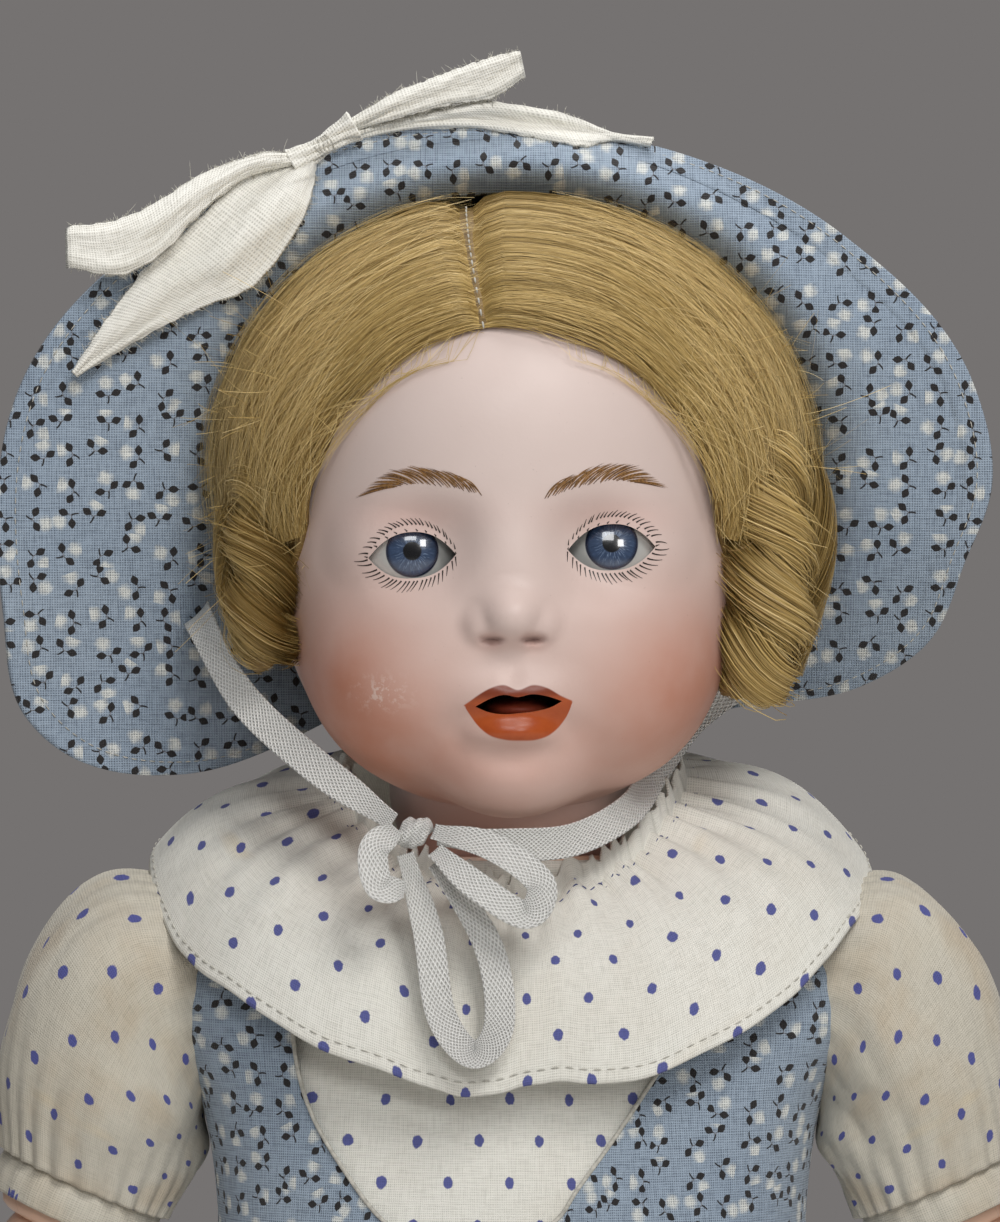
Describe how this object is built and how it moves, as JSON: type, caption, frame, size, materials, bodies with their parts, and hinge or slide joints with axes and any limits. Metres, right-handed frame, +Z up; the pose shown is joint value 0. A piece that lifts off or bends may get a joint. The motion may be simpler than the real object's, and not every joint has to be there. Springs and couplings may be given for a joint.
{
  "type": "jointed toddler doll",
  "caption": "Standing toddler doll with a bisque socket head, sleep eyes, mohair wig, soft brimmed hat, blouse and romper on a strung jointed body.",
  "frame": {"origin": "on the ground, in the middle of the object's bounding box", "axes": "+Z up, the doll faces -Y, and its own left side is +X"},
  "size_m": [0.1864, 0.0976, 0.4037],
  "materials": {
    "bisque": "satin fired bisque with painted features",
    "card": "pressed card",
    "wood": "turned wood",
    "composition": "painted and varnished composition",
    "steel": "drawn wire",
    "lead": "dull cast weight",
    "glass": "blown glass, blue",
    "plaster": "matte plaster",
    "felt": "felt",
    "mohair": "combed golden mohair",
    "calico": "light blue printed cotton",
    "muslin": "plain white muslin",
    "ribbon": "white braided ribbon",
    "lawn": "white lawn with blue pin dots",
    "elastic": "covered elastic",
    "leather": "polished leather",
    "cotton": "knitted cotton"
  },
  "bodies": {
    "torso": {"torso": "composition", "stringing_ring": "steel", "arm_elastic": "elastic", "leg_elastic": "elastic", "blouse_body": "lawn", "collar": "lawn", "romper_bodice": "calico", "romper_seat": "calico"},
    "neck": {"neck_plug": "wood", "neck_hook": "steel", "tie_knot": "ribbon", "tie_loop_long": "ribbon", "tie_loop_side": "ribbon", "tie_loop_small": "ribbon"},
    "head": {"head": "bisque", "crown_pate": "card", "tongue": "felt", "eye_plaster_left": "plaster", "eye_plaster_right": "plaster", "wig": "mohair", "wig_braid_left": "mohair", "wig_braid_right": "mohair", "hat_brim": "calico", "hat_crown": "calico", "hat_bow_knot": "muslin", "hat_bow_loop_left": "muslin", "hat_bow_loop_right": "muslin", "hat_bow_tail_left": "muslin", "hat_bow_tail_right": "muslin", "hat_tie_left": "ribbon", "hat_tie_right": "ribbon"},
    "eyes": {"eye_left": "glass", "eye_right": "glass", "eye_rocker": "steel", "eye_weight": "lead"},
    "upper_arm_left": {"upper_arm_left": "composition", "arm_ring_left": "steel", "sleeve_left": "lawn", "cuff_left": "lawn"},
    "forearm_left": {"forearm_left": "composition"},
    "hand_left": {"hand_left": "composition"},
    "thigh_left": {"thigh_left": "composition", "leg_ring_left": "steel", "romper_leg_left": "calico"},
    "shin_left": {"shin_left": "composition", "sock_left": "cotton", "shoe_left": "leather"},
    "upper_arm_right": {"upper_arm_right": "composition", "arm_ring_right": "steel", "sleeve_right": "lawn", "cuff_right": "lawn"},
    "forearm_right": {"forearm_right": "composition"},
    "hand_right": {"hand_right": "composition"},
    "thigh_right": {"thigh_right": "composition", "leg_ring_right": "steel", "romper_leg_right": "calico"},
    "shin_right": {"shin_right": "composition", "sock_right": "cotton", "shoe_right": "leather"}
  },
  "joints": [
    {"name": "head_turn", "type": "hinge", "parent": "torso", "child": "neck", "pos_m": [0, -0.0027, 0.296], "axis": [0, 0, 1], "range_deg": [-55, 55], "deforming": ["tie_loop_long", "tie_loop_side", "tie_loop_small", "tie_knot", "hat_tie_left", "hat_tie_right", "collar"]},
    {"name": "head_nod", "type": "hinge", "parent": "neck", "child": "head", "pos_m": [0, -0.0027, 0.296], "axis": [1, 0, 0], "range_deg": [-5, 6], "deforming": ["hat_tie_left", "hat_tie_right"]},
    {"name": "eye_sleep", "type": "hinge", "parent": "head", "child": "eyes", "pos_m": [0, -0.0277, 0.3302], "axis": [1, 0, 0], "range_deg": [0, 50]},
    {"name": "shoulder_left", "type": "hinge", "parent": "torso", "child": "upper_arm_left", "pos_m": [0.049, -0.0027, 0.269], "axis": [-1, 0, 0], "range_deg": [-35, 80], "deforming": ["sleeve_left"]},
    {"name": "elbow_left", "type": "hinge", "parent": "upper_arm_left", "child": "forearm_left", "pos_m": [0.06771, -0.0027, 0.22698], "axis": [-0.9135, 0, -0.4067], "range_deg": [-20, 45]},
    {"name": "wrist_left", "type": "hinge", "parent": "forearm_left", "child": "hand_left", "pos_m": [0.08332, -0.01978, 0.19193], "axis": [0.3716, -0.4067, -0.8346], "range_deg": [-70, 70]},
    {"name": "hip_left", "type": "hinge", "parent": "torso", "child": "thigh_left", "pos_m": [0.023, -0.0027, 0.163], "axis": [-0.9397, 0, 0.342], "range_deg": [-20, 100], "deforming": ["romper_leg_left", "romper_seat"]},
    {"name": "knee_left", "type": "hinge", "parent": "thigh_left", "child": "shin_left", "pos_m": [0.023, -0.0027, 0.088], "axis": [1, 0, 0], "range_deg": [0, 85]},
    {"name": "shoulder_right", "type": "hinge", "parent": "torso", "child": "upper_arm_right", "pos_m": [-0.049, -0.0027, 0.269], "axis": [-1, 0, 0], "range_deg": [-35, 80], "deforming": ["sleeve_right"]},
    {"name": "elbow_right", "type": "hinge", "parent": "upper_arm_right", "child": "forearm_right", "pos_m": [-0.06771, -0.0027, 0.22698], "axis": [-0.9135, 0, 0.4067], "range_deg": [-20, 45]},
    {"name": "wrist_right", "type": "hinge", "parent": "forearm_right", "child": "hand_right", "pos_m": [-0.08332, -0.01978, 0.19193], "axis": [0.3716, 0.4067, 0.8346], "range_deg": [-70, 70]},
    {"name": "hip_right", "type": "hinge", "parent": "torso", "child": "thigh_right", "pos_m": [-0.023, -0.0027, 0.163], "axis": [-0.9397, 0, -0.342], "range_deg": [-20, 100], "deforming": ["romper_leg_right", "romper_seat"]},
    {"name": "knee_right", "type": "hinge", "parent": "thigh_right", "child": "shin_right", "pos_m": [-0.023, -0.0027, 0.088], "axis": [1, 0, 0], "range_deg": [0, 85]}
  ]
}
